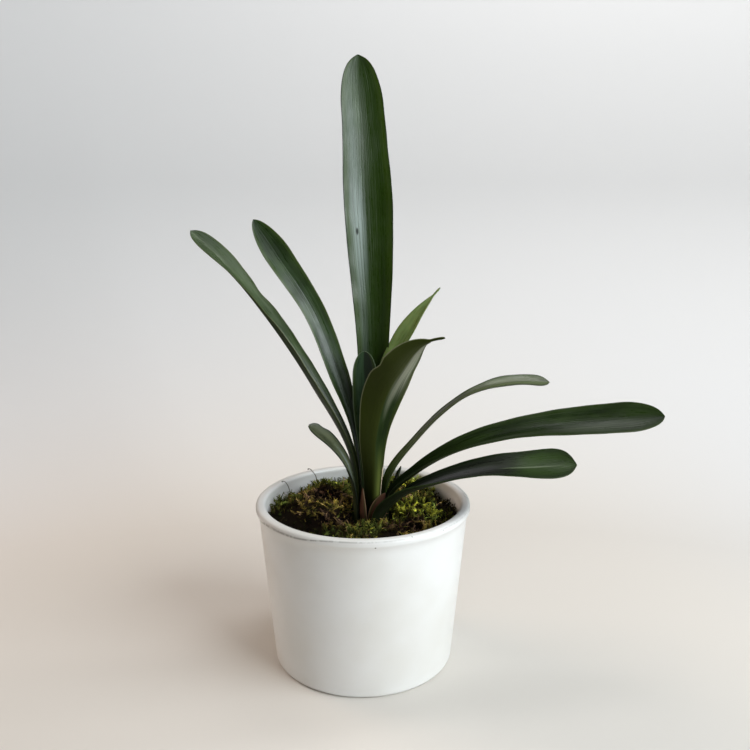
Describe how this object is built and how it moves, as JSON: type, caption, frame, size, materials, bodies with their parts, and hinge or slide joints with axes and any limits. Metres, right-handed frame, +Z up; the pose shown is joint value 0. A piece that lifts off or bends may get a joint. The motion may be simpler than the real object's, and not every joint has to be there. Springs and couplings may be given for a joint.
{
  "type": "potted clivia plant",
  "caption": "Young clivia house plant: dark green strap leaves fanning from one crown, set in mossy soil in a tapered white glazed pot with a rolled rim.",
  "frame": {"origin": "centre of the pot's flat base, on the surface that it stands on", "axes": "+Z up along the pot's axis, which is also the direction in which the plant is tallest; -Y is the front, +X is the viewer's right"},
  "size_m": [0.323, 0.15, 0.415],
  "materials": {
    "pot_glaze": "opaque white satin glaze on stoneware",
    "soil": "damp dark potting soil, crumbly",
    "leaf_base": "pale green fleshy leaf base, satin",
    "moss": "feathery moss, yellow green to dark brown",
    "leaf": "dark green waxy leaf, satin with fine lengthwise veins",
    "sheath": "dry reddish brown papery scale"
  },
  "bodies": {
    "root": {"pot": "pot_glaze", "soil": "soil", "crown": "leaf_base", "moss_left": "moss", "moss_front": "moss", "moss_right": "moss", "moss_back": "moss", "leaf_tall": "leaf", "leaf_left_outer": "leaf", "leaf_left_inner": "leaf", "leaf_left_low": "leaf", "leaf_middle_small": "leaf", "leaf_front": "leaf", "leaf_back_right": "leaf", "leaf_right_upper": "leaf", "leaf_right_middle": "leaf", "leaf_right_low": "leaf", "leaf_stub": "leaf", "sheath_left": "sheath", "sheath_right": "sheath"}
  },
  "joints": []
}
